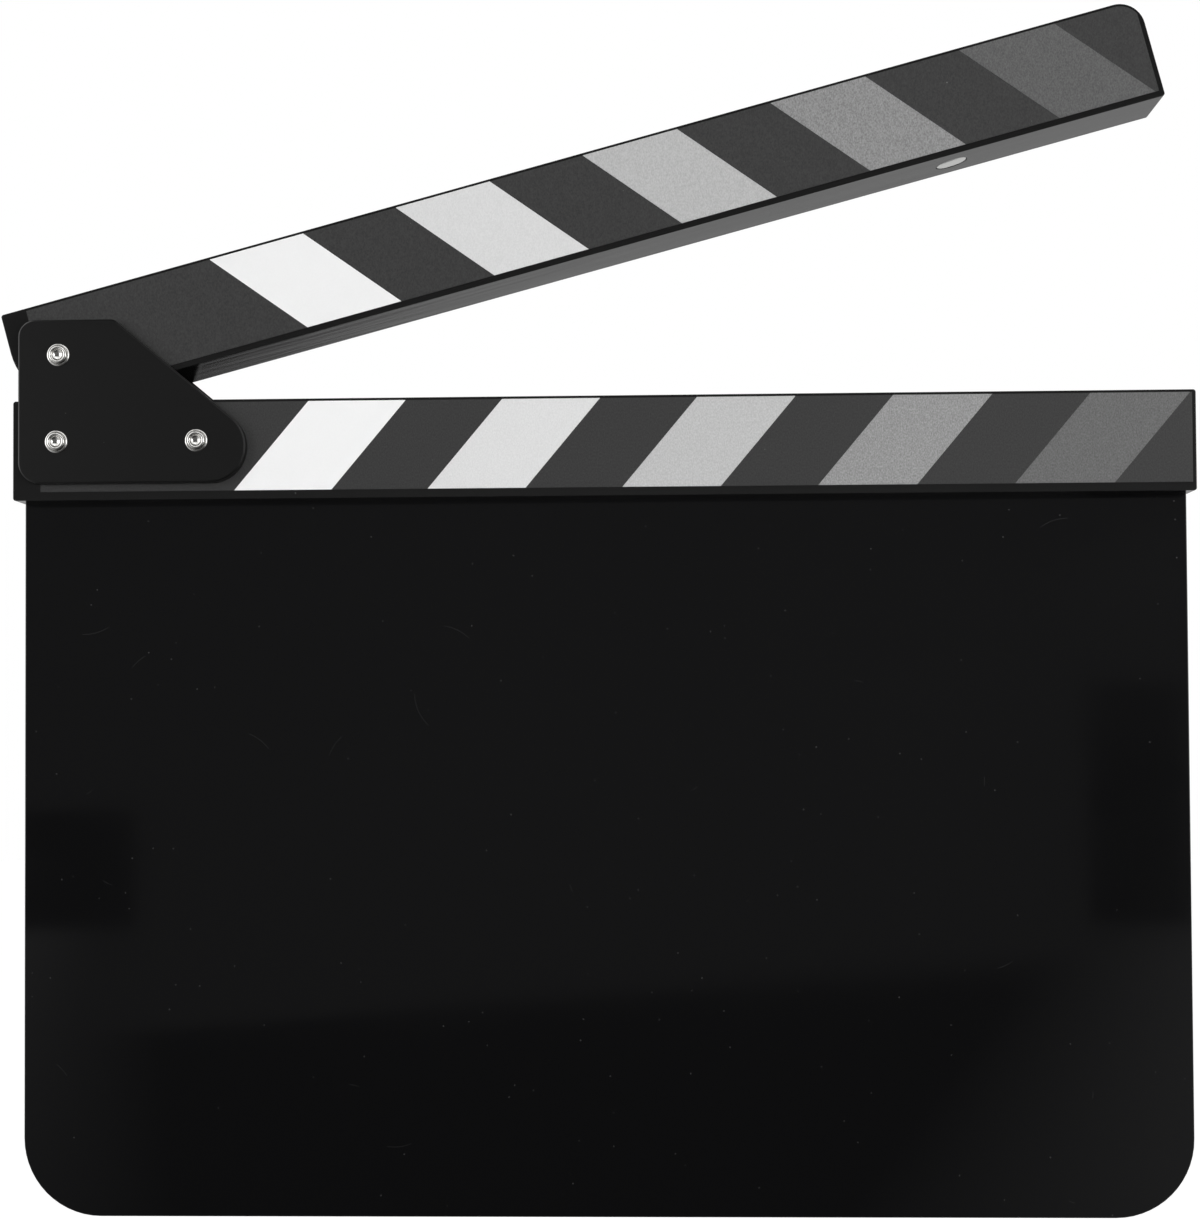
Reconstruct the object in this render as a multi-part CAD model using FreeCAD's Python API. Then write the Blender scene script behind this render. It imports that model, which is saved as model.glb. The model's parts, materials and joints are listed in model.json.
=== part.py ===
"""Clapperboard: a glossy slate board hung in a lower stick, with a striped clap stick hinged above it.

Sizes are millimetres and angles degrees. +Z is up, +X runs along the sticks away from the hinge,
and the striped front faces -Y. The origin is the middle of the board's bottom edge, halfway
through its thickness. The clap stick is drawn closed and then swung open to its rest angle.
"""
import FreeCAD, Part
import math
import os

# The pair of sticks: painted bars, square but for the clap stick's heel and tip
STICK_LENGTH = 300.3
STICK_HEIGHT = 25.5
CLAP_EXTRA_LENGTH = 0.2
CLAP_HEIGHT = 25.75
STICK_THICKNESS = 20.0
STICK_CORNER_RADIUS = 0.7
STICK_EDGE_RADIUS = 0.2
HEEL_RADIUS = 15.5
TIP_RADIUS = 6.5
CLOSED_GAP = 0.2
CLAP_SETBACK = 0.05
CLAP_SIDE_CLEARANCE = 0.15
REST_OPENING = 14.91

# The slate board, a sheet glued into a slot along the lower stick's underside
BOARD_FREE_HEIGHT = 183.65
BOARD_THICKNESS = 3.0
BOARD_END_INSET = 0.65
BOARD_CORNER_RADIUS = 20.0
BOARD_TOP_RADIUS = 1.0
BOARD_EDGE_CHAMFER = 0.25
SLOT_DEPTH = 11.0
SLOT_CLEARANCE = 0.1

# The printed labels: a dark film with slanted stripes on it, leaning opposite ways
FILM_THICKNESS = 0.2
FILM_EDGE_BORDER = 0.7
LOWER_FILM_START = 7.2
LOWER_FILM_END_BORDER = 1.0
LOWER_FILM_FOOT_BORDER = 2.15
UPPER_FILM_START = 6.7
UPPER_FILM_END_BORDER = 1.3
UPPER_FILM_FOOT_BORDER = 1.5
STRIPE_THICKNESS = 0.05
STRIPE_FIRST = 5.5
STRIPE_WIDTH = 24.9
STRIPE_TIP_GAP = 11.6
STRIPE_LEAN = 50.0
STRIPE_SHADES = ("white", "pale_grey", "light_grey", "mid_grey", "dark_grey")

# The hinge plates: one outline on both sides, drawn round four discs
PLATE_THICKNESS = 3.0
PLATE_INSET = 2.2
PLATE_LENGTH = 58.2
PLATE_RISE = 20.3
PLATE_DROP = 21.5
PLATE_TOP_LENGTH = 23.8
PLATE_HEEL_RADIUS = 5.5
PLATE_END_RADIUS = 9.2
PLATE_SHOULDER_RADIUS = 2.0
PLATE_CORNER_RADIUS = 4.2
PLATE_EDGE_CHAMFER = 0.4

# The rivets: a bevelled head behind, a hollow end rolled over a washer in front
PIVOT_FROM_END = 12.6
PIVOT_RISE = 11.25
FIXED_FROM_END = 12.1
FIXED_SPACING = 35.85
FIXED_DROP = 10.9
RIVET_RADIUS = 2.0
RIVET_HOLE_CLEARANCE = 0.1
PIVOT_RUNNING_CLEARANCE = 0.05
RIVET_HEAD_RADIUS = 3.0
RIVET_HEAD_HEIGHT = 1.2
RIVET_HEAD_EDGE = 0.5
RIVET_CROWN_RADIUS = 1.6
RIVET_BORE_RADIUS = 1.3
RIVET_BORE_DEPTH = 4.5
RIVET_BORE_POINT = 0.6
ROLL_RADIUS = 2.25
ROLL_HEIGHT = 0.6
ROLL_BEVEL = 0.3
WASHER_RADIUS = 2.95
WASHER_THICKNESS = 0.5
WASHER_BEVEL = 0.25

# The disc magnets that snap the sticks shut
MAGNET_FROM_END = 54.25
MAGNET_RADIUS = 4.0
MAGNET_LENGTH = 5.0
MAGNET_RECESS = 0.3
MAGNET_CLEARANCE = 0.1
MAGNET_EDGE_CHAMFER = 0.3

# How far a cutter runs past the face that it cuts, and how near counts as lying in a plane
OVERRUN = 1.0
TOUCH = 0.001

# Places worked out from the sizes above
HINGE_END = -STICK_LENGTH / 2
CLAP_END = HINGE_END + CLAP_SETBACK
CLAP_LENGTH = STICK_LENGTH + CLAP_EXTRA_LENGTH
STICK_FOOT = BOARD_FREE_HEIGHT
CONTACT = STICK_FOOT + STICK_HEIGHT
CLAP_FOOT = CONTACT + CLOSED_GAP
CLAP_THICKNESS = STICK_THICKNESS - 2 * CLAP_SIDE_CLEARANCE
STICK_FRONT = -STICK_THICKNESS / 2
STICK_BACK = STICK_THICKNESS / 2
CLAP_FRONT = -CLAP_THICKNESS / 2
FRONT_PLATE_SEAT = STICK_FRONT - FILM_THICKNESS
FRONT_PLATE_FACE = FRONT_PLATE_SEAT - PLATE_THICKNESS
REAR_PLATE_FACE = STICK_BACK + PLATE_THICKNESS
PLATE_LEFT = HINGE_END + PLATE_INSET
PLATE_RIGHT = PLATE_LEFT + PLATE_LENGTH
PIVOT = (HINGE_END + PIVOT_FROM_END, CONTACT + PIVOT_RISE)
FIXED_RIVETS = tuple(
    (HINGE_END + FIXED_FROM_END + step * FIXED_SPACING, CONTACT - FIXED_DROP) for step in range(2)
)
STRIPES_START = PLATE_INSET + PLATE_LENGTH + STRIPE_FIRST
STRIPE_PITCH = (STICK_LENGTH - STRIPES_START - STRIPE_WIDTH - STRIPE_TIP_GAP) / (len(STRIPE_SHADES) - 1)
MAGNET_X = HINGE_END + STICK_LENGTH - MAGNET_FROM_END


def at(x, z, y=0):
    """A point of the front view, at depth y."""
    return FreeCAD.Vector(x, y, z)


def hull_face(discs, y):
    """The flat face drawn tightly round discs (x, z, radius), listed anticlockwise as seen from the front."""
    normals = []
    for (x0, z0, r0), (x1, z1, r1) in zip(discs, discs[1:] + discs[:1]):
        span = math.hypot(x1 - x0, z1 - z0)
        along = ((x1 - x0) / span, (z1 - z0) / span)
        lean = (r0 - r1) / span
        out = math.sqrt(1 - lean * lean)
        normals.append((along[0] * lean + along[1] * out, along[1] * lean - along[0] * out))
    edges = []
    for index, (x, z, radius) in enumerate(discs):
        into, leave = normals[index - 1], normals[index]
        middle = math.atan2(into[1] + leave[1], into[0] + leave[0])
        start = at(x + radius * into[0], z + radius * into[1], y)
        crown = at(x + radius * math.cos(middle), z + radius * math.sin(middle), y)
        end = at(x + radius * leave[0], z + radius * leave[1], y)
        edges.append(Part.Arc(start, crown, end).toShape())
        x1, z1, r1 = discs[(index + 1) % len(discs)]
        edges.append(Part.LineSegment(end, at(x1 + r1 * leave[0], z1 + r1 * leave[1], y)).toShape())
    return Part.Face(Part.Wire(edges))


def bar_face(left, foot, width, height, radii, y):
    """A rectangle with its own radius at each corner, from bottom left round to top left."""
    right, top = left + width, foot + height
    signs = ((left, 1, foot, 1), (right, -1, foot, 1), (right, -1, top, -1), (left, 1, top, -1))
    discs = [(x + sx * r, z + sz * r, r) for (x, sx, z, sz), r in zip(signs, radii)]
    return hull_face(discs, y)


def polygon_face(points, y):
    """The flat face inside straight sides through (x, z) points."""
    corners = [at(x, z, y) for x, z in points]
    return Part.Face(Part.makePolygon(corners + corners[:1]))


def slab(face, depth):
    """A face pulled back along +Y to a solid of that depth."""
    return face.extrude(FreeCAD.Vector(0, depth, 0))


def edges_in_plane(solid, y):
    """The solid's edges whose ends both lie at depth y."""
    return [edge for edge in solid.Edges if all(abs(v.Y - y) < TOUCH for v in edge.Vertexes)]


def bore(place, radius, front, back):
    """A cutter for a round hole through a piece, from front to back."""
    return Part.makeCylinder(radius, back - front + 2 * OVERRUN, at(*place, front - OVERRUN),
                             FreeCAD.Vector(0, 1, 0))


def turned(profile, place, along=FreeCAD.Vector(0, 1, 0)):
    """A solid of revolution from a closed profile of (radius, distance along the axis) points."""
    out = FreeCAD.Vector(1, 0, 0)
    points = [out * radius + along * distance for radius, distance in profile]
    solid = Part.Face(Part.makePolygon(points + points[:1])).revolve(at(0, 0), along, 360)
    solid.translate(at(*place))
    return solid


def swing_open(shape):
    """The shape turned about the pivot from closed to the rest angle, its free end rising."""
    shape.rotate(at(*PIVOT), FreeCAD.Vector(0, -1, 0), REST_OPENING)
    return shape


def stick_bar(face, thickness):
    """A stick's plain bar with its long edges and ends eased."""
    bar = slab(face, thickness)
    front = face.CenterOfMass.y
    rims = edges_in_plane(bar, front) + edges_in_plane(bar, front + thickness)
    return bar.makeFillet(STICK_EDGE_RADIUS, rims)


def lower_outline(y):
    """The lower stick's front view."""
    return bar_face(HINGE_END, STICK_FOOT, STICK_LENGTH, STICK_HEIGHT, (STICK_CORNER_RADIUS,) * 4, y)


def upper_outline(y):
    """The clap stick's front view when closed: a rounded heel under the pivot and a rounded tip."""
    radii = (HEEL_RADIUS, STICK_CORNER_RADIUS, TIP_RADIUS, STICK_CORNER_RADIUS)
    return bar_face(CLAP_END, CLAP_FOOT, CLAP_LENGTH, CLAP_HEIGHT, radii, y)


def magnet_pocket(mouth, inward):
    """A cutter for a magnet's blind hole, from its mouth at height mouth, sunk up (1) or down (-1)."""
    depth = MAGNET_RECESS + MAGNET_LENGTH
    return Part.makeCylinder(MAGNET_RADIUS + MAGNET_CLEARANCE, depth + OVERRUN,
                             at(MAGNET_X, mouth - inward * OVERRUN), FreeCAD.Vector(0, 0, inward))


def slate_board():
    """The sheet, rounded at its two free corners and bored wherever a rivet reaches into the slot."""
    top = STICK_FOOT + SLOT_DEPTH
    front = -BOARD_THICKNESS / 2
    radii = (BOARD_CORNER_RADIUS, BOARD_CORNER_RADIUS, BOARD_TOP_RADIUS, BOARD_TOP_RADIUS)
    left, width = HINGE_END + BOARD_END_INSET, STICK_LENGTH - 2 * BOARD_END_INSET
    sheet = slab(bar_face(left, 0, width, top, radii, front), BOARD_THICKNESS)
    rims = edges_in_plane(sheet, front) + edges_in_plane(sheet, -front)
    eased = sheet.makeChamfer(BOARD_EDGE_CHAMFER, rims)
    hole = RIVET_RADIUS + RIVET_HOLE_CLEARANCE
    return eased.cut([bore(place, hole, front, -front) for place in FIXED_RIVETS])


def lower_stick():
    """The bar that carries the board in its slot and the hinge plates on its sides."""
    bar = stick_bar(lower_outline(STICK_FRONT), STICK_THICKNESS)
    slot_width = BOARD_THICKNESS + 2 * SLOT_CLEARANCE
    slot = Part.makeBox(STICK_LENGTH + 2 * OVERRUN, slot_width, SLOT_DEPTH + OVERRUN,
                        at(HINGE_END - OVERRUN, STICK_FOOT - OVERRUN, -slot_width / 2))
    cutters = [slot, magnet_pocket(CONTACT, -1)]
    for place in FIXED_RIVETS:
        cutters.append(bore(place, RIVET_RADIUS + RIVET_HOLE_CLEARANCE, STICK_FRONT, STICK_BACK))
    return bar.cut(cutters)


def upper_stick():
    """The clap stick, bored for the pivot rivet and the magnet."""
    bar = stick_bar(upper_outline(CLAP_FRONT), CLAP_THICKNESS)
    pivot_bore = bore(PIVOT, RIVET_RADIUS + PIVOT_RUNNING_CLEARANCE, CLAP_FRONT, -CLAP_FRONT)
    return bar.cut([pivot_bore, magnet_pocket(CLAP_FOOT, 1)])


def film_outline(stick_face, left, right, foot, top, y):
    """The part of a film's rectangle that stays clear of the stick's own rounded corners."""
    sheet = polygon_face(((left, foot), (right, foot), (right, top), (left, top)), y)
    return sheet.common(stick_face.makeOffset2D(-FILM_EDGE_BORDER))


def lower_film_outline(y):
    """The lower label's outline at depth y."""
    return film_outline(lower_outline(y), HINGE_END + LOWER_FILM_START,
                        HINGE_END + STICK_LENGTH - LOWER_FILM_END_BORDER,
                        STICK_FOOT + LOWER_FILM_FOOT_BORDER, CONTACT - FILM_EDGE_BORDER, y)


def upper_film_outline(y):
    """The clap stick label's outline at depth y, with the stick closed."""
    return film_outline(upper_outline(y), CLAP_END + UPPER_FILM_START,
                        CLAP_END + CLAP_LENGTH - UPPER_FILM_END_BORDER,
                        CLAP_FOOT + UPPER_FILM_FOOT_BORDER, CLAP_FOOT + CLAP_HEIGHT - FILM_EDGE_BORDER, y)


def label(film_face, front, stick_end, foot, height, lean, rivets):
    """A film holed for rivets, and the stripes on it, which lean towards the tip (1) or the hinge (-1)."""
    sheet = slab(film_face(front - FILM_THICKNESS), FILM_THICKNESS)
    hole = RIVET_RADIUS + RIVET_HOLE_CLEARANCE
    film = sheet.cut([bore(place, hole, front - FILM_THICKNESS, front) for place in rivets])
    ink = front - FILM_THICKNESS - STRIPE_THICKNESS
    shift = lean * height / 2 / math.tan(math.radians(STRIPE_LEAN))
    stripes = []
    for index in range(len(STRIPE_SHADES)):
        left = stick_end + STRIPES_START + index * STRIPE_PITCH
        right = left + STRIPE_WIDTH
        top = foot + height
        band = polygon_face(((left - shift, foot), (right - shift, foot),
                             (right + shift, top), (left + shift, top)), ink)
        stripes.append(slab(band.common(film_face(ink)), STRIPE_THICKNESS))
    return film, stripes


def hinge_plate(inner, outward):
    """One hinge plate, from its seat at depth inner outwards to the front (-1) or the back (1)."""
    foot, top = CONTACT - PLATE_DROP, CONTACT + PLATE_RISE
    discs = [
        (PLATE_LEFT + PLATE_HEEL_RADIUS, foot + PLATE_HEEL_RADIUS, PLATE_HEEL_RADIUS),
        (PLATE_RIGHT - PLATE_END_RADIUS, foot + PLATE_END_RADIUS, PLATE_END_RADIUS),
        (PLATE_LEFT + PLATE_TOP_LENGTH, top - PLATE_SHOULDER_RADIUS, PLATE_SHOULDER_RADIUS),
        (PLATE_LEFT + PLATE_CORNER_RADIUS, top - PLATE_CORNER_RADIUS, PLATE_CORNER_RADIUS),
    ]
    outer = inner + outward * PLATE_THICKNESS
    plate = slab(hull_face(discs, inner), outward * PLATE_THICKNESS)
    plate = plate.makeChamfer(PLATE_EDGE_CHAMFER, edges_in_plane(plate, outer))
    front, back = min(inner, outer), max(inner, outer)
    radius = RIVET_RADIUS + RIVET_HOLE_CLEARANCE
    return plate.cut([bore(place, radius, front, back) for place in (PIVOT,) + FIXED_RIVETS])


def rivet(place):
    """A tubular rivet: bevelled head on the rear plate, plain shank, hollow end rolled over its washer."""
    seat = FRONT_PLATE_FACE - WASHER_THICKNESS
    head = REAR_PLATE_FACE
    crown = head + RIVET_HEAD_HEIGHT
    crest = seat - ROLL_HEIGHT
    bore_end = seat + RIVET_BORE_DEPTH
    profile = (
        (0, crown),
        (RIVET_CROWN_RADIUS, crown),
        (RIVET_HEAD_RADIUS, head + RIVET_HEAD_EDGE),
        (RIVET_HEAD_RADIUS, head),
        (RIVET_RADIUS, head),
        (RIVET_RADIUS, seat),
        (ROLL_RADIUS, seat),
        (ROLL_RADIUS, crest + ROLL_BEVEL),
        (ROLL_RADIUS - ROLL_BEVEL, crest),
        (RIVET_BORE_RADIUS + ROLL_BEVEL, crest),
        (RIVET_BORE_RADIUS, crest + ROLL_BEVEL),
        (RIVET_BORE_RADIUS, bore_end),
        (0, bore_end + RIVET_BORE_POINT),
    )
    return turned(profile, place)


def rivet_washer(place):
    """A flat washer between the front plate and a rivet's rolled end, its outer edge bevelled."""
    seat = FRONT_PLATE_FACE
    face = seat - WASHER_THICKNESS
    hole = RIVET_RADIUS + RIVET_HOLE_CLEARANCE
    profile = ((hole, seat), (WASHER_RADIUS, seat), (WASHER_RADIUS, face + WASHER_BEVEL),
               (WASHER_RADIUS - WASHER_BEVEL, face), (hole, face))
    return turned(profile, place)


def magnet(mouth, inward):
    """A disc magnet on the floor of its pocket, whose mouth is at height mouth."""
    outer = mouth + inward * MAGNET_RECESS
    inner = outer + inward * MAGNET_LENGTH
    eased = MAGNET_RADIUS - MAGNET_EDGE_CHAMFER
    rim = inward * MAGNET_EDGE_CHAMFER
    profile = ((0, outer), (eased, outer), (MAGNET_RADIUS, outer + rim),
               (MAGNET_RADIUS, inner - rim), (eased, inner), (0, inner))
    return turned(profile, (MAGNET_X, 0), FreeCAD.Vector(0, 0, 1))


def save(name, *solids):
    """Writes one node: a single solid, or a group of alike solids."""
    shape = solids[0] if len(solids) == 1 else Part.makeCompound(list(solids))
    shape.exportStep(os.path.join("parts", name + ".step"))


def main():
    """Builds every piece and writes each to its own file."""
    os.makedirs("parts", exist_ok=True)
    save("slate_board", slate_board())
    save("lower_stick", lower_stick())
    save("upper_stick", swing_open(upper_stick()))
    lower_film, lower_stripes = label(lower_film_outline, STICK_FRONT, HINGE_END, STICK_FOOT, STICK_HEIGHT,
                                       1, FIXED_RIVETS)
    upper_film, upper_stripes = label(upper_film_outline, CLAP_FRONT, CLAP_END, CLAP_FOOT, CLAP_HEIGHT,
                                       -1, (PIVOT,))
    save("lower_label_film", lower_film)
    save("upper_label_film", swing_open(upper_film))
    for shade, low, high in zip(STRIPE_SHADES, lower_stripes, upper_stripes):
        save("lower_stripe_" + shade, low)
        save("upper_stripe_" + shade, swing_open(high))
    save("hinge_plate_front", hinge_plate(FRONT_PLATE_SEAT, -1))
    save("hinge_plate_rear", hinge_plate(STICK_BACK, 1))
    save("pivot_rivet", rivet(PIVOT))
    save("hinge_rivets", *(rivet(place) for place in FIXED_RIVETS))
    save("rivet_washers", *(rivet_washer(place) for place in (PIVOT,) + FIXED_RIVETS))
    save("lower_magnet", magnet(CONTACT, -1))
    save("upper_magnet", swing_open(magnet(CLAP_FOOT, 1)))


main()
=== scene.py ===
"""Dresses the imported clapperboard: its finishes, its turned rivets and magnets, the camera and the studio.

Lengths are millimetres until they reach Blender, which works in metres, and angles are degrees.
+X runs along the sticks away from the hinge, the striped front faces -Y and +Z is up.
"""
import json
import logging
import math
from collections.abc import Iterator
from dataclasses import dataclass
from enum import Enum
from functools import partial

import bpy
from mathutils import Euler, Matrix, Vector


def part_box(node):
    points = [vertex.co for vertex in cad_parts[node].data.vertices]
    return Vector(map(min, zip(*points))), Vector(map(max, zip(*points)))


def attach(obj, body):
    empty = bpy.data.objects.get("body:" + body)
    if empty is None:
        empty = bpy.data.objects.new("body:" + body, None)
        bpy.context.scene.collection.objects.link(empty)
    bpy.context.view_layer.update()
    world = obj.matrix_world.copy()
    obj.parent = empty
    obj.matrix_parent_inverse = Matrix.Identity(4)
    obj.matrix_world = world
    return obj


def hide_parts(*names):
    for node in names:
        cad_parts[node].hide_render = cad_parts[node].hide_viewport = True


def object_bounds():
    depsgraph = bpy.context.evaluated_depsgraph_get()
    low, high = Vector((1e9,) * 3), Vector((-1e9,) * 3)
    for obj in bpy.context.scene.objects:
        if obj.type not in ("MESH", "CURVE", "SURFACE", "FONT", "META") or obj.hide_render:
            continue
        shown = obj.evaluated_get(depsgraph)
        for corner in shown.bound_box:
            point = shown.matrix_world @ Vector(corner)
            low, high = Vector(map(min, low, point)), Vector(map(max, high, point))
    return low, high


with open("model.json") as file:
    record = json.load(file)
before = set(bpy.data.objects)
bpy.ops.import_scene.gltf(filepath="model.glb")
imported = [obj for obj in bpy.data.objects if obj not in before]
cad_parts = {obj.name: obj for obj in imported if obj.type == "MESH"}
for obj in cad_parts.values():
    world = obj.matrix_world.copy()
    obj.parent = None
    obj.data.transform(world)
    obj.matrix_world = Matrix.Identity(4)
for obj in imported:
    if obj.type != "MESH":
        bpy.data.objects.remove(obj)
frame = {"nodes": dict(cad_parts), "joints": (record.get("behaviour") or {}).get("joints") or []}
CAD_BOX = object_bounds()

LOG = logging.getLogger("clapperboard")
MM = 0.001
CLAP_TILT = -frame["joints"][0]["range_deg"][0]
WHITE = (1.0, 1.0, 1.0, 1.0)
# Points this near to each other, in metres, are merged
WELD_REACH = MM * MM
# Faces that meet at up to this angle shade as one surface
SMOOTH_ANGLE = 50.0
# A Mix node has sockets for each type of value, and these are its factor and its colours
FACTOR, COLOUR_A, COLOUR_B = 0, 6, 7
COLOUR_OUT = 2
RGBA = tuple[float, float, float, float]
Profile = list[tuple[float, float]]
Source = bpy.types.Node | bpy.types.NodeSocket


def linear(colour: str, gain: float = 1.0) -> RGBA:
    """Turns an sRGB hex colour into the linear values that a shader takes.

    Args:
        colour: The colour as "#rrggbb".
        gain: A factor on the linear values, for the light and dark of one printed tone.

    Returns:
        Linear red, green, blue and a full alpha.
    """
    values = []
    for start in (1, 3, 5):
        level = int(colour[start:start + 2], 16) / 255
        value = level / 12.92 if level <= 0.04045 else ((level + 0.055) / 1.055) ** 2.4
        values.append(min(value * gain, 1.0))
    return (values[0], values[1], values[2], 1.0)


def add_node(tree: bpy.types.NodeTree, kind: str, inputs: dict[str | int, object] | None = None,
             **settings: object) -> bpy.types.Node:
    """Adds one shader node with its settings and links.

    Args:
        tree: The node tree that takes the node.
        kind: Blender's name for the type of node, after the "ShaderNode" that all share.
        inputs: For each input by name or number, its value, or the socket to link from, or a node
            to link from by its first socket.
        settings: The node's own properties.

    Returns:
        The new node.
    """
    node = tree.nodes.new("ShaderNode" + kind)
    for name, value in settings.items():
        setattr(node, name, value)
    for key, value in (inputs or {}).items():
        source = value.outputs[0] if isinstance(value, bpy.types.Node) else value
        if isinstance(source, bpy.types.NodeSocket):
            tree.links.new(source, node.inputs[key])
        else:
            node.inputs[key].default_value = source
    return node


def empty_material(name: str) -> bpy.types.Material:
    """Starts a material of the stage.

    Args:
        name: The material's name.

    Returns:
        A material with no nodes yet.
    """
    material = bpy.data.materials.new(name)
    material.use_nodes = True
    material.node_tree.nodes.clear()
    return material


@dataclass(frozen=True)
class Dust:
    """Specks of dust, spread through space so that a surface cuts a few of them."""

    colour: str
    # The mean distance from one speck to the next
    spacing: float
    radius: float


@dataclass(frozen=True)
class Finish:
    """What every finish has: a name, a colour, and how it throws light back."""

    name: str
    colour: str
    roughness: float
    metallic: float = 0.0
    ior: float = 1.5


class Shader:
    """A material in the making, with the patterns that several finishes share."""

    # Nearly all of a grain's values lie between these two
    grain_span = (0.3, 0.7)

    def __init__(self, finish: Finish) -> None:
        """Starts a material whose even values are set on its surface.

        Args:
            finish: The finish that gives the name and the values.
        """
        self.material = bpy.data.materials.new(finish.name)
        self.material.use_nodes = True
        self.tree = self.material.node_tree
        self.add = partial(add_node, self.tree)
        self.place = self.add("TexCoord").outputs["Object"]
        self.surface = self.tree.nodes["Principled BSDF"]
        even = {"Base Color": linear(finish.colour), "Roughness": finish.roughness,
                "Metallic": finish.metallic, "IOR": finish.ior}
        for socket, value in even.items():
            self.surface.inputs[socket].default_value = value

    def feed(self, socket: str, source: Source) -> None:
        """Links a pattern, by its first socket if it is a node, into one of the surface's inputs."""
        output = source.outputs[0] if isinstance(source, bpy.types.Node) else source
        self.tree.links.new(output, self.surface.inputs[socket])

    def grain(self, size: tuple[float, float, float], tilt: float = 0.0, detail: float = 2.0
              ) -> bpy.types.Node:
        """Soft irregular grain.

        Args:
            size: The grain's size along X, Y and Z.
            tilt: How far the grain is turned up from X, for the clap stick.
            detail: How much finer grain is laid over it.

        Returns:
            The node whose first value wanders about a half.
        """
        space = self.add("Mapping", vector_type="TEXTURE", inputs={
            "Vector": self.place,
            "Rotation": (0, -math.radians(tilt), 0),
            "Scale": tuple(length * MM for length in size),
        })
        return self.add("TexNoise", {"Vector": space, "Scale": 1.0, "Detail": detail})

    def uneven_sheen(self, pattern: bpy.types.Node, share: float) -> None:
        """Lets a grain swing the surface's roughness.

        Args:
            pattern: The grain.
            share: How far the roughness swings either way, as a share of its even value.
        """
        even = self.surface.inputs["Roughness"].default_value
        low, high = self.grain_span
        sheen = self.add("MapRange", {"Value": pattern, "From Min": low, "From Max": high,
                                      "To Min": even * (1 - share), "To Max": even * (1 + share)})
        self.feed("Roughness", sheen)

    def specks(self, dust: Dust) -> bpy.types.Node:
        """A mask that is 1 on scattered specks of dust."""
        cells = self.add("TexVoronoi", {"Vector": self.place, "Scale": 1 / (dust.spacing * MM)})
        return self.add("Math", {0: cells, 1: dust.radius / dust.spacing}, operation="LESS_THAN")

    def colour_dusty(self, dust: Dust, clean: RGBA | bpy.types.NodeSocket) -> bpy.types.Node:
        """Gives the surface its colour with dust on it.

        Args:
            dust: The dust.
            clean: The colour between the specks, or the socket that gives it.

        Returns:
            The node of a mask that is 1 on the specks.
        """
        mask = self.specks(dust)
        dusty = self.add("Mix", {FACTOR: mask, COLOUR_A: clean, COLOUR_B: linear(dust.colour)},
                         data_type="RGBA")
        self.feed("Base Color", dusty.outputs[COLOUR_OUT])
        return mask

    def hairlines(self, spacing: float, length: float, width: float, bow: float, share: float
                  ) -> bpy.types.Node:
        """Short bowed scratches in the front view, at most one to a cell and each lying its own way.

        Args:
            spacing: The mean distance from one cell's middle to the next.
            length: The longest scratch.
            width: A scratch's width.
            bow: How far the longest scratch bows from straight.
            share: The share of cells that have a scratch.

        Returns:
            The node of a mask that is 1 on the scratches.
        """
        add = self.add
        flat = add("Mapping", {"Vector": self.place, "Rotation": (-math.pi / 2, 0, 0)})
        cells = add("TexVoronoi", {"Vector": flat, "Scale": 1 / (spacing * MM)},
                    voronoi_dimensions="2D").outputs
        chance = add("SeparateColor", {"Color": cells["Color"]}).outputs
        offset = add("VectorMath", {0: flat, 1: cells["Position"]}, operation="SUBTRACT")
        angle = add("Math", {0: chance["Red"], 1: 2 * math.pi}, operation="MULTIPLY")
        turned = add("VectorRotate", {"Vector": offset, "Angle": angle}, rotation_type="Z_AXIS")
        place = add("SeparateXYZ", {"Vector": turned}).outputs
        half = length * MM / 2
        square = add("Math", {0: place["X"], 1: 2.0}, operation="POWER")
        bend = -bow * MM / (half * half)
        aside = add("Math", {0: square, 1: bend, 2: place["Y"]}, operation="MULTIPLY_ADD")
        line = add("Math", {0: aside, 1: 0.0, 2: width * MM / 2}, operation="COMPARE")
        reach = add("Math", {0: chance["Green"], 1: half}, operation="MULTIPLY")
        ends = add("Math", {0: place["X"], 1: 0.0, 2: reach}, operation="COMPARE")
        chosen = add("Math", {0: chance["Blue"], 1: share}, operation="LESS_THAN")
        drawn = add("Math", {0: line, 1: ends}, operation="MULTIPLY")
        return add("Math", {0: drawn, 1: chosen}, operation="MULTIPLY")


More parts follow.
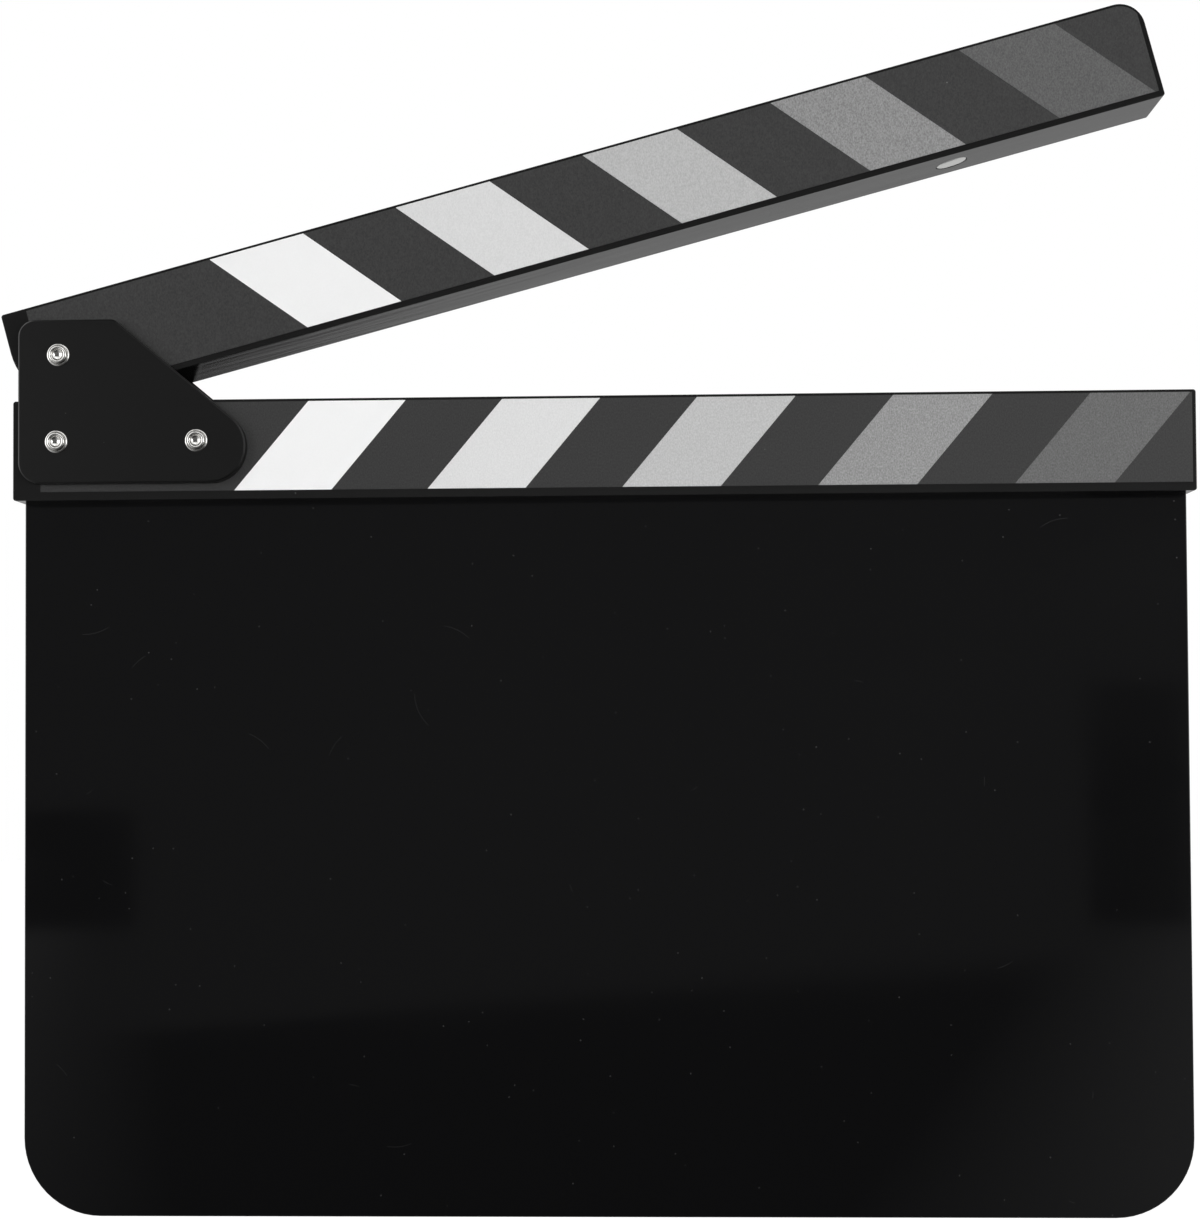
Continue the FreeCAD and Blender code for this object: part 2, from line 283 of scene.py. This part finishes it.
# Polished cast acrylic sheet: a deep black mirror, with faint wipe marks, dust and hairline scratches.
# Dust and scratches are far finer on the real sheet, and are drawn coarse enough to show.
@dataclass(frozen=True)
class PolishedAcrylic(Finish):
    """The slate board's sheet."""

    dust: Dust = Dust("#2a2a2a", 4.5, 0.19)
    scratch_colour: str = "#181818"
    scratch_spacing: float = 26.0
    scratch_length: float = 9.0
    scratch_width: float = 0.09
    scratch_bow: float = 0.9
    scratch_share: float = 0.3
    wipe_size: tuple[float, float, float] = (60.0, 60.0, 24.0)
    wipe_span: tuple[float, float] = (0.35, 0.7)
    wipe_gain: float = 2.0
    mark_roughness: float = 0.4

    def material(self) -> bpy.types.Material:
        """Builds the material.

        Returns:
            The finished material.
        """
        shader = Shader(self)
        scratches = shader.hairlines(self.scratch_spacing, self.scratch_length, self.scratch_width,
                                     self.scratch_bow, self.scratch_share)
        worn = shader.add("Mix", {FACTOR: scratches, COLOUR_A: linear(self.colour),
                                  COLOUR_B: linear(self.scratch_colour)}, data_type="RGBA")
        dust = shader.colour_dusty(self.dust, worn.outputs[COLOUR_OUT])
        low, high = self.wipe_span
        grain = shader.grain(self.wipe_size)
        wipes = shader.add("MapRange", {"Value": grain, "From Min": low, "From Max": high,
                                        "To Min": self.roughness, "To Max": self.wipe_gain * self.roughness})
        marks = shader.add("Math", {0: dust, 1: scratches}, operation="MAXIMUM")
        shader.feed("Roughness", shader.add("Math", {0: marks, 1: self.mark_roughness, 2: wipes},
                                            operation="MULTIPLY_ADD"))
        return shader.material


# Satin black lacquer sprayed on beech: dull black, with the wood's long grain just raised under it.
# The grain is drawn several times as wide as beech has it, so that it shows as streaks under the sticks.
@dataclass(frozen=True)
class SatinLacquer(Finish):
    """The paint on a stick."""

    tilt: float = 0.0
    grain_length: float = 40.0
    grain_width: float = 2.5
    grain_detail: float = 3.0
    grain_depth: float = 0.03
    sheen_swing: float = 0.3
    dust: Dust = Dust("#5a5a5a", 6.0, 0.18)

    def material(self) -> bpy.types.Material:
        """Builds the material.

        Returns:
            The finished material.
        """
        shader = Shader(self)
        size = (self.grain_length, self.grain_width, self.grain_width)
        grain = shader.grain(size, self.tilt, self.grain_detail)
        shader.feed("Normal", shader.add("Bump", {"Height": grain, "Distance": self.grain_depth * MM}))
        shader.uneven_sheen(grain, self.sheen_swing)
        shader.colour_dusty(self.dust, linear(self.colour))
        return shader.material


# Black powder coat on punched steel: an even satin with the coat's fine pebble, and a little dust
@dataclass(frozen=True)
class PowderCoat(Finish):
    """The coat on the hinge plates."""

    pebble: float = 0.35
    pebble_detail: float = 1.0
    pebble_depth: float = 0.006
    dust: Dust = Dust("#484848", 6.0, 0.2)

    def material(self) -> bpy.types.Material:
        """Builds the material.

        Returns:
            The finished material.
        """
        shader = Shader(self)
        pebble = shader.grain((self.pebble, self.pebble, self.pebble), detail=self.pebble_detail)
        shader.feed("Normal", shader.add("Bump", {"Height": pebble, "Distance": self.pebble_depth * MM}))
        shader.colour_dusty(self.dust, linear(self.colour))
        return shader.material


# Printed matt vinyl: a flat tone broken by the mottle of its ink, drawn coarser than the dots to show
@dataclass(frozen=True)
class PrintedVinyl(Finish):
    """One printed tone of a label."""

    mottle: float = 0.3
    mottle_stretch: float = 1.6
    mottle_detail: float = 1.0
    mottle_span: tuple[float, float] = (0.25, 0.75)
    # The share by which the mottle swings the tone either way
    mottle_gain: float = 0.1
    sheen_swing: float = 0.08
    wear: Dust | None = None

    def material(self) -> bpy.types.Material:
        """Builds the material.

        Returns:
            The finished material.
        """
        shader = Shader(self)
        size = (self.mottle, self.mottle, self.mottle_stretch * self.mottle)
        ink = shader.grain(size, detail=self.mottle_detail)
        low, high = self.mottle_span
        tone = shader.add("MapRange", {"Value": ink, "From Min": low, "From Max": high})
        dark = linear(self.colour, 1 - self.mottle_gain)
        light = linear(self.colour, 1 + self.mottle_gain)
        mottled = shader.add("Mix", {FACTOR: tone, COLOUR_A: dark, COLOUR_B: light}, data_type="RGBA")
        if self.wear:
            shader.colour_dusty(self.wear, mottled.outputs[COLOUR_OUT])
        else:
            shader.feed("Base Color", mottled.outputs[COLOUR_OUT])
        shader.uneven_sheen(ink, self.sheen_swing)
        return shader.material


# Bright nickel plate on small turned or pressed pieces: a clean mirror, softened by the tumbling barrel
@dataclass(frozen=True)
class NickelPlate(Finish):
    """The plating on rivets, washers and magnets."""

    tumble: float = 0.5
    tumble_depth: float = 0.008
    sheen_swing: float = 0.35

    def material(self) -> bpy.types.Material:
        """Builds the material.

        Returns:
            The finished material.
        """
        shader = Shader(self)
        dents = shader.grain((self.tumble, self.tumble, self.tumble))
        shader.feed("Normal", shader.add("Bump", {"Height": dents, "Distance": self.tumble_depth * MM}))
        shader.uneven_sheen(dents, self.sheen_swing)
        return shader.material


class Stick(Enum):
    """The two sticks, each with the angle at which it lies at rest."""

    LOWER = 0.0
    UPPER = CLAP_TILT

    @property
    def node_name(self) -> str:
        """The stick's word in the names of its nodes."""
        return self.name.lower()

    @property
    def body(self) -> str:
        """The body that the stick belongs to."""
        return "slate" if self is Stick.LOWER else "clapper"

    @property
    def inward(self) -> Euler:
        """The turn that points Z from the other stick's side into this stick."""
        return Euler((math.pi, 0, 0) if self is Stick.LOWER else (0, -math.radians(self.value), 0))


class Shade(Enum):
    """The printed stripes from the hinge to the tip.

    Each has its tone on the lower stick and on the upper one, one ink painted lighter on the lower stick and
    darker on the upper as painted light and shade, and the share by which its mottle swings it.
    """

    # Each pair is one ink: the lower stick's value carries painted light and the upper stick's value painted
    # shade.
    WHITE = ("#f5f5f5", "#f2f2f2", 0.01)
    PALE_GREY = ("#dddddd", "#d7d7d7", 0.06)
    LIGHT_GREY = ("#bdbdbd", "#b5b5b5", 0.14)
    MID_GREY = ("#919191", "#888888", 0.3)
    DARK_GREY = ("#636363", "#585858", 0.3)

    def tone(self, stick: Stick) -> str:
        """The hex colour of this tone on one of the sticks, with painted light on the lower stick and painted
        shade on the upper.
        """
        return self.value[0 if stick is Stick.LOWER else 1]

    @property
    def node_name(self) -> str:
        """The tone's word in the names of nodes and slots."""
        return self.name.lower()

    @property
    def mottle_gain(self) -> float:
        """The share by which the ink's mottle swings the tone, hardly at all on white."""
        return self.value[2]


def dress(node: str, material: bpy.types.Material) -> None:
    """Gives a CAD node its finish and reports it.

    Args:
        node: The node's name.
        material: Its finish.
    """
    data = frame["nodes"][node].data
    data.materials.clear()
    data.materials.append(material)
    LOG.info("dressed %s in %s", node, material.name)


def arc(middle: tuple[float, float], radii: tuple[float, float], start: float, end: float, steps: int
        ) -> Iterator[tuple[float, float]]:
    """Points along part of an ellipse.

    Args:
        middle: Its centre, as (radius, depth).
        radii: Its half widths in those two directions.
        start: The angle of the first point, from the outward direction towards greater depth.
        end: The angle of the last point.
        steps: The number of steps between them.

    Returns:
        An iterator over (radius, depth) points.
    """
    for step in range(steps + 1):
        angle = math.radians(start + (end - start) * step / steps)
        yield (middle[0] + radii[0] * math.cos(angle), middle[1] + radii[1] * math.sin(angle))


def turn_piece(name: str, profile: Profile, place: Vector, turn: Euler, sides: int, ring: bool = False
               ) -> bpy.types.Object:
    """Turns a piece as on a lathe, by extruding one circle along Z from ring to ring, and sets it in place.

    Args:
        name: The piece's name.
        profile: (radius, depth) of each ring. A solid's runs from end to end, a ring's back to its start.
        place: Where the axis has depth nought.
        turn: The turn that lays the axis, which is Z, in its direction.
        sides: The number of sides to a circle.
        ring: True for a piece with a hole, False for a solid.

    Returns:
        The piece, with its place in its mesh.
    """
    radius, depth = profile[0]
    bpy.ops.object.select_all(action="DESELECT")
    bpy.ops.mesh.primitive_circle_add(vertices=sides, radius=radius * MM, location=(0, 0, depth * MM),
                                      fill_type="NOTHING" if ring else "NGON")
    piece = bpy.context.object
    piece.name = piece.data.name = name
    bpy.ops.object.transform_apply(location=True, rotation=True, scale=True)
    bpy.ops.object.mode_set(mode="EDIT")
    bpy.ops.mesh.select_all(action="SELECT")
    for next_radius, next_depth in profile[1:]:
        step = (0, 0, (next_depth - depth) * MM)
        bpy.ops.mesh.extrude_region_move(TRANSFORM_OT_translate={"value": step})
        growth = next_radius / radius
        bpy.ops.transform.resize(value=(growth, growth, 1), center_override=(0, 0, next_depth * MM))
        radius, depth = next_radius, next_depth
    bpy.ops.mesh.select_all(action="SELECT")
    bpy.ops.mesh.remove_doubles(threshold=WELD_REACH)
    bpy.ops.mesh.normals_make_consistent(inside=False)
    bpy.ops.object.mode_set(mode="OBJECT")
    piece.location, piece.rotation_euler = place * MM, turn
    bpy.ops.object.transform_apply(location=True, rotation=True, scale=True)
    bpy.ops.object.shade_smooth_by_angle(angle=math.radians(SMOOTH_ANGLE))
    return piece


def ride(piece: bpy.types.Object, body: str, material: bpy.types.Material, node: str) -> None:
    """Finishes a modelled piece.

    Args:
        piece: The piece.
        body: The body that it moves with.
        material: Its finish.
        node: The CAD node that it stands for.
    """
    piece.data.materials.clear()
    piece.data.materials.append(material)
    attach(piece, body)
    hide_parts(node)
    LOG.info("built %s on %s", piece.name, body)


@dataclass
class SlateBoard:
    """The glossy sheet under the sticks."""

    sheet: PolishedAcrylic = PolishedAcrylic("polished_black_acrylic", "#0a0a0b", 0.05, ior=1.49)

    def build(self) -> None:
        """Dresses the board."""
        dress("slate_board", self.sheet.material())


@dataclass
class ClapSticks:
    """The pair of painted sticks with their printed labels and the disc magnets that hold them shut."""

    paint_colour: str = "#1b1b1b"
    paint_roughness: float = 0.12
    paint_ior: float = 1.36
    label_colour: str = "#2f2f2f"
    label_mottle: float = 0.4
    label_wear: Dust = Dust("#5c5c5c", 8.0, 0.2)
    print_roughness: float = 0.5
    print_ior: float = 1.45
    magnet_radius: float = 4.0
    magnet_length: float = 5.0
    magnet_edge: float = 0.3
    magnet_edge_steps: int = 5
    # The innermost ring of a magnet's face, as a share of the flat's radius
    magnet_core: float = 0.125
    magnet_lift: float = 0.25
    magnet_sides: int = 72
    plating: NickelPlate = NickelPlate("nickel_plated_magnet", "#f9f9f7", 0.1, metallic=1.0,
                                       tumble_depth=0.002)

    def magnet_profile(self) -> Profile:
        """A disc with both rims rounded, from its showing face inwards.

        Returns:
            (radius, depth) points from the middle of one face to the middle of the other.
        """
        edge, steps = self.magnet_edge, self.magnet_edge_steps
        flat = self.magnet_radius - edge
        core = self.magnet_core * flat
        points = [(core, 0.0)]
        points += arc((flat, edge), (edge, edge), -90, 0, steps)
        points += arc((flat, self.magnet_length - edge), (edge, edge), 0, 90, steps)
        return points + [(core, self.magnet_length)]

    def magnet(self, stick: Stick) -> bpy.types.Object:
        """Turns a stick's magnet, lifted from the CAD disc's place until it lies all but flush.

        Args:
            stick: The stick that holds it.

        Returns:
            The magnet.
        """
        low, high = (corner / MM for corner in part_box(f"{stick.node_name}_magnet"))
        inward = stick.inward.to_matrix() @ Vector((0, 0, 1))
        face = (low + high) / 2 - inward * (self.magnet_length / 2 + self.magnet_lift)
        return turn_piece(f"{stick.node_name}_magnet_turned", self.magnet_profile(), face, stick.inward,
                          self.magnet_sides)

    def build(self) -> None:
        """Dresses both sticks, tone by tone, and sets their magnets."""
        film = PrintedVinyl("dark_printed_vinyl", self.label_colour, self.print_roughness,
                            ior=self.print_ior, mottle_gain=self.label_mottle, wear=self.label_wear)
        label = film.material()
        nickel = self.plating.material()
        for stick in Stick:
            name = stick.node_name
            paint = SatinLacquer(f"satin_black_lacquer_{name}", self.paint_colour, self.paint_roughness,
                                 ior=self.paint_ior, tilt=stick.value)
            dress(f"{name}_stick", paint.material())
            dress(f"{name}_label_film", label)
            for shade in Shade:
                stripe = f"{name}_stripe_{shade.node_name}"
                ink = PrintedVinyl(f"printed_vinyl_{stripe}", shade.tone(stick), self.print_roughness,
                                   ior=self.print_ior, mottle_gain=shade.mottle_gain)
                dress(stripe, ink.material())
            ride(self.magnet(stick), stick.body, nickel, f"{name}_magnet")


@dataclass
class RivetedHinge:
    """The two plates and the three tubular rivets, each rolled over a washer in front."""

    head_radius: float = 3.0
    head_height: float = 1.2
    head_edge: float = 0.35
    shank_radius: float = 2.0
    roll_outer: float = 2.25
    roll_inner: float = 1.45
    roll_height: float = 0.6
    cup_depth: float = 0.75
    washer_radius: float = 2.95
    washer_hole: float = 2.1
    washer_thickness: float = 0.5
    # The angle at which a cup or a dome stops short of the axis
    pole_angle: float = 86.0
    pole_steps: int = 10
    roll_steps: int = 12
    # The angles over which the rolled rim tucks in behind, towards the washer
    tuck: tuple[float, float] = (20.0, 60.0)
    tuck_steps: int = 3
    washer_steps: int = 14
    sides: int = 72
    coat: PowderCoat = PowderCoat("black_powder_coat", "#121212", 0.3, ior=1.36)
    plating: NickelPlate = NickelPlate("bright_nickel_plate", "#e9e8e5", 0.15, metallic=1.0)

    def seat_depths(self) -> tuple[float, float]:
        """The depths of the front plate's face and the rear plate's face."""
        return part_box("hinge_plate_front")[0].y / MM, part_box("hinge_plate_rear")[1].y / MM

    def rivet_places(self) -> dict[str, Vector]:
        """Finds the rivets from the boxes of the CAD rivets.

        Returns:
            A point of each rivet's axis, at depth nought, by the rivet's name.
        """
        low, high = (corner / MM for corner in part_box("pivot_rivet"))
        pivot = Vector(((low.x + high.x) / 2, 0, (low.z + high.z) / 2))
        low, high = (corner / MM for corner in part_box("hinge_rivets"))
        height = (low.z + high.z) / 2
        return {"pivot": pivot, "heel": Vector((low.x + self.head_radius, 0, height)),
                "end": Vector((high.x - self.head_radius, 0, height))}

    def rivet_profile(self) -> Profile:
        """The rivet from the floor of its cup, round the rolled rim and down the shank to the domed head.

        Returns:
            (radius, depth) points from front to rear.
        """
        front, rear = self.seat_depths()
        seat = front - self.washer_thickness
        rim = ((self.roll_outer + self.roll_inner) / 2, seat - self.roll_height / 2)
        roll = ((self.roll_outer - self.roll_inner) / 2, self.roll_height / 2)
        cup = (self.roll_inner, self.cup_depth)
        points = list(arc((0, rim[1]), cup, self.pole_angle, 0, self.pole_steps))
        points += arc(rim, roll, -180, 0, self.roll_steps)
        points += arc(rim, roll, *self.tuck, self.tuck_steps)
        points += [(self.shank_radius, seat), (self.shank_radius, rear), (self.head_radius, rear)]
        dome = (self.head_radius, self.head_height - self.head_edge)
        points += arc((0, rear + self.head_edge), dome, 0, self.pole_angle, self.pole_steps)
        return points

    def washer_profile(self) -> Profile:
        """The washer's section, flat behind and half round in front.

        Returns:
            (radius, depth) points round the section and back to the first.
        """
        front = self.seat_depths()[0]
        middle = (self.washer_radius + self.washer_hole) / 2
        half = (self.washer_radius - self.washer_hole) / 2
        points = list(arc((middle, front), (half, self.washer_thickness), -180, 0, self.washer_steps))
        return points + points[:1]

    def build(self) -> None:
        """Dresses the plates and turns the rivets and washers."""
        coat = self.coat.material()
        for side in ("front", "rear"):
            dress(f"hinge_plate_{side}", coat)
        plating = self.plating.material()
        rearward = Euler((-math.pi / 2, 0, 0))
        for name, place in self.rivet_places().items():
            node = "pivot_rivet" if name == "pivot" else "hinge_rivets"
            rivet = turn_piece(f"{name}_rivet_turned", self.rivet_profile(), place, rearward, self.sides)
            ride(rivet, "slate", plating, node)
            washer = turn_piece(f"{name}_washer_turned", self.washer_profile(), place, rearward, self.sides,
                                ring=True)
            ride(washer, "slate", plating, "rivet_washers")


@dataclass
class PhotoCamera:
    """The camera where the photograph was taken, worked out from the edges of the sticks and the board.

    The turn, tilt and roll are from a level look along +Y.
    """

    place: tuple[float, float, float] = (17.71, -551.15, 124.49)
    turn: float = 1.8888
    tilt: float = 1.5535
    roll: float = -0.3092
    focal_pixels: float = 2141.9
    shift_pixels: float = 61.0
    tall_pixels: float = 1220.0
    sensor: float = 36.0

    def build(self) -> None:
        """Places the camera and makes it the scene's own."""
        data = bpy.data.cameras.new("photo_camera")
        data.sensor_width = self.sensor
        data.lens = self.sensor * self.focal_pixels / self.tall_pixels
        data.shift_y = self.shift_pixels / self.tall_pixels
        camera = bpy.data.objects.new("photo_camera", data)
        aim = (Matrix.Rotation(math.radians(self.turn), 4, "Z")
               @ Matrix.Rotation(math.radians(90 + self.tilt), 4, "X")
               @ Matrix.Rotation(math.radians(self.roll), 4, "Z"))
        camera.matrix_world = Matrix.Translation(Vector(self.place) * MM) @ aim
        bpy.context.scene.collection.objects.link(camera)
        bpy.context.scene.camera = camera


@dataclass(frozen=True)
class SoftBox:
    """A flat studio light, given by its middle and its width and height.

    Gloss mirrors it unless it is told not to.
    """

    name: str
    place: tuple[float, float, float]
    size: tuple[float, float]
    watts: float
    glossy: bool = True

    def build(self, aim: Vector) -> None:
        """Hangs the light.

        Args:
            aim: The point that it faces, in metres.
        """
        data = bpy.data.lights.new(self.name, "AREA")
        data.shape = "RECTANGLE"
        data.size, data.size_y = (length * MM for length in self.size)
        data.energy = self.watts
        lamp = bpy.data.objects.new(self.name, data)
        lamp.visible_glossy = self.glossy
        lamp.location = Vector(self.place) * MM
        lamp.rotation_euler = (aim - lamp.location).to_track_quat("-Z", "Y").to_euler()
        bpy.context.scene.collection.objects.link(lamp)


@dataclass(frozen=True)
class RoomCard:
    """A flat upright thing in the room that gloss alone sees.

    It is given by its middle, its width and height, and its level.
    """

    name: str
    size: tuple[float, float]
    place: tuple[float, float, float]
    level: float

    def material(self) -> bpy.types.Material:
        """Builds an even dim material.

        Returns:
            The material.
        """
        material = empty_material(f"dim_{self.name}")
        add = partial(add_node, material.node_tree)
        add("OutputMaterial", {"Surface": add("Emission", {"Color": WHITE, "Strength": self.level})})
        return material


@dataclass
class Studio:
    """White paper for floor and backdrop, soft light from the front, sides and top, and the room around.

    Gloss mirrors the room, and levels say how bright it does so, where 1 is white.
    """

    # The level of what isn't lit, and of the room's own faint light
    room_level: float = 0.045
    # The sides of the room, which start and end their rise at these shares of X in the direction
    side_level: float = 1.2
    side_edge: tuple[float, float] = (0.3, 0.6)
    # A bright band above, by the middle and the half width of its share of Z in the direction
    upper_level: float = 1.0
    upper_band: tuple[float, float] = (0.66, 0.22)
    paper: str = "#f2f2f2"
    # The paper beyond the dim patch around the slate, which ends by these fades behind and at the sides.
    # Behind and beside the slate the patch is painted shadow of the slate, seen only in gloss.
    # The patch widens with the distance from the slate by the side slant.
    paper_gloss: float = 0.52
    rear_fade: tuple[float, float] = (890.0, 985.0)
    side_middle: float = -25.0
    side_fade: tuple[float, float] = (85.0, 300.0)
    side_slant: float = 0.25
    # In front it gives way to the wall's level, along a slanting edge
    front_fade: tuple[float, float] = (-450.0, -474.0)
    front_slant: float = 0.611
    floor_reach: float = 1500.0
    half_width: float = 1600.0
    backdrop_height: float = 2200.0
    # Most of the camera's white on the floor is a glow, and the rest is matt and shows the shadow
    floor_glow_share: float = 0.2
    floor_glow: float = 4.62
    wall_level: float = 0.12
    cards: tuple[RoomCard, ...] = (
        RoomCard("room_wall", (900, 360), (-13.5, -800, 180), wall_level),
        RoomCard("stand_on_the_left", (75, 75), (-358, -795, 37.5), room_level),
        RoomCard("stand_on_the_right", (60, 150), (307, -795, 75), room_level),
    )
    lights: tuple[SoftBox, ...] = (
        SoftBox("front_fill", (20, -1000, 150), (500, 400), 6.25, glossy=False),
        SoftBox("left_softbox", (-1150, -950, 200), (900, 900), 3.5),
        SoftBox("right_softbox", (800, -1100, 200), (700, 700), 5.2),
        SoftBox("top_softbox", (-60, -700, 1050), (500, 300), 0.6),
    )

    def paper_material(self, name: str, glow_share: float, glow: float) -> bpy.types.Material:
        """Matt white paper that the camera sees white, and that gloss sees dim near the slate, as painted
        shadow of the slate behind and beside it, and lit beyond.

        Args:
            name: The material's name.
            glow_share: The share of glow in what the camera sees, where the rest takes light and shadow.
            glow: The glow's strength, with which glow and rest together come to white.

        Returns:
            The material.
        """
        material = empty_material(name)
        add = partial(add_node, material.node_tree)
        path = add("LightPath").outputs
        place = add("SeparateXYZ", {0: add("TexCoord").outputs["Object"]}).outputs
        away = add("Math", {0: place["Y"]}, operation="ABSOLUTE")
        across = add("Math", {0: place["X"], 1: self.side_middle * MM}, operation="SUBTRACT")
        wide = add("Math", {0: across}, operation="ABSOLUTE")
        aside = add("Math", {0: away, 1: -self.side_slant, 2: wide}, operation="MULTIPLY_ADD")
        ahead = add("Math", {0: place["X"], 1: self.front_slant, 2: place["Y"]}, operation="MULTIPLY_ADD")
        level = add("Math", {0: path["Is Camera Ray"], 1: glow}, operation="MULTIPLY")
        # Gloss levels: the dim patch behind and beside the slate is painted shadow, and in front the paper
        # dims to the room and then to the wall's level.
        for way, (start, end), brightest in ((place["Y"], self.rear_fade, self.paper_gloss),
                                             (aside, self.side_fade, self.paper_gloss),
                                             (ahead, self.front_fade, self.wall_level)):
            lit = add("MapRange", {"Value": way, "From Min": start * MM, "From Max": end * MM,
                                   "To Min": self.room_level, "To Max": brightest})
            level = add("Math", {0: level, 1: lit}, operation="MAXIMUM")
        share = add("Math", {0: path["Is Camera Ray"], 1: glow_share, 2: path["Is Glossy Ray"]},
                    operation="MULTIPLY_ADD", use_clamp=True)
        matt = add("BsdfDiffuse", {"Color": linear(self.paper)})
        shining = add("Emission", {"Color": WHITE, "Strength": level})
        add("OutputMaterial", {"Surface": add("MixShader", {0: share, 1: matt, 2: shining})})
        return material

    def sheet(self, name: str, size: tuple[float, float], place: tuple[float, float, float],
              turn: tuple[float, float, float], material: bpy.types.Material) -> bpy.types.Object:
        """Lays or hangs a flat sheet as part of the stage.

        Args:
            name: The sheet's name.
            size: Its width and its other side.
            place: Its middle.
            turn: Its angles about X, Y and Z from lying flat.
            material: Its finish.

        Returns:
            The sheet.
        """
        bpy.ops.object.select_all(action="DESELECT")
        bpy.ops.mesh.primitive_plane_add(size=1)
        paper = bpy.context.object
        paper.name = name
        paper.scale = (size[0] * MM, size[1] * MM, 1)
        paper.rotation_euler = [math.radians(angle) for angle in turn]
        paper.location = Vector(place) * MM
        bpy.ops.object.transform_apply(location=True, rotation=True, scale=True)
        paper.data.materials.append(material)
        return paper

    def room(self) -> None:
        """Sets up the world.

        The camera sees it white, gloss sees bright sides and a bright band above, and all else sees it dim.
        """
        world = bpy.context.scene.world or bpy.data.worlds.new("studio_room")
        bpy.context.scene.world = world
        world.use_nodes = True
        world.node_tree.nodes.clear()
        add = partial(add_node, world.node_tree)
        path = add("LightPath").outputs
        way = add("SeparateXYZ", {0: add("TexCoord").outputs["Generated"]}).outputs
        aside = add("Math", {0: way["X"]}, operation="ABSOLUTE")
        start, end = self.side_edge
        sides = add("MapRange", {"Value": aside, "From Min": start, "From Max": end,
                                 "To Min": self.room_level, "To Max": self.side_level})
        middle, half = self.upper_band
        band = add("Math", {0: way["Z"], 1: middle, 2: half}, operation="COMPARE")
        above = add("Math", {0: band, 1: self.upper_level}, operation="MULTIPLY")
        bright = add("Math", {0: sides, 1: above}, operation="MAXIMUM")
        gloss = add("Math", {0: bright, 1: path["Is Glossy Ray"]}, operation="MULTIPLY")
        dim = add("Math", {0: gloss, 1: self.room_level}, operation="MAXIMUM")
        level = add("Math", {0: dim, 1: path["Is Camera Ray"]}, operation="MAXIMUM")
        add("OutputWorld", {"Surface": add("Background", {"Color": WHITE, "Strength": level})})

    def build(self) -> None:
        """Sets up the room, the papers, the cards in front and the lights."""
        self.room()
        wide, upright = 2 * self.half_width, (90, 0, 0)
        self.sheet("floor", (wide, 2 * self.floor_reach), (0, 0, 0), (0, 0, 0),
                   self.paper_material("white_floor_paper", self.floor_glow_share, self.floor_glow))
        middle = (0, self.floor_reach, self.backdrop_height / 2)
        self.sheet("backdrop", (wide, self.backdrop_height), middle, upright,
                   self.paper_material("white_backdrop_paper", glow_share=1.0, glow=1.0))
        for card in self.cards:
            sheet = self.sheet(card.name, card.size, card.place, upright, card.material())
            sheet.visible_camera = False
            sheet.visible_shadow = False
            sheet.visible_diffuse = False
        aim = (CAD_BOX[0] + CAD_BOX[1]) / 2
        for light in self.lights:
            light.build(aim)
        bpy.context.scene.view_settings.view_transform = "Standard"


def main() -> None:
    """Builds the camera, the studio and the sub-assemblies in order."""
    logging.basicConfig(level=logging.INFO, format="%(message)s")
    PhotoCamera().build()
    Studio().build()
    for assembly in (SlateBoard(), ClapSticks(), RivetedHinge()):
        assembly.build()


if __name__ == "__main__":
    main()
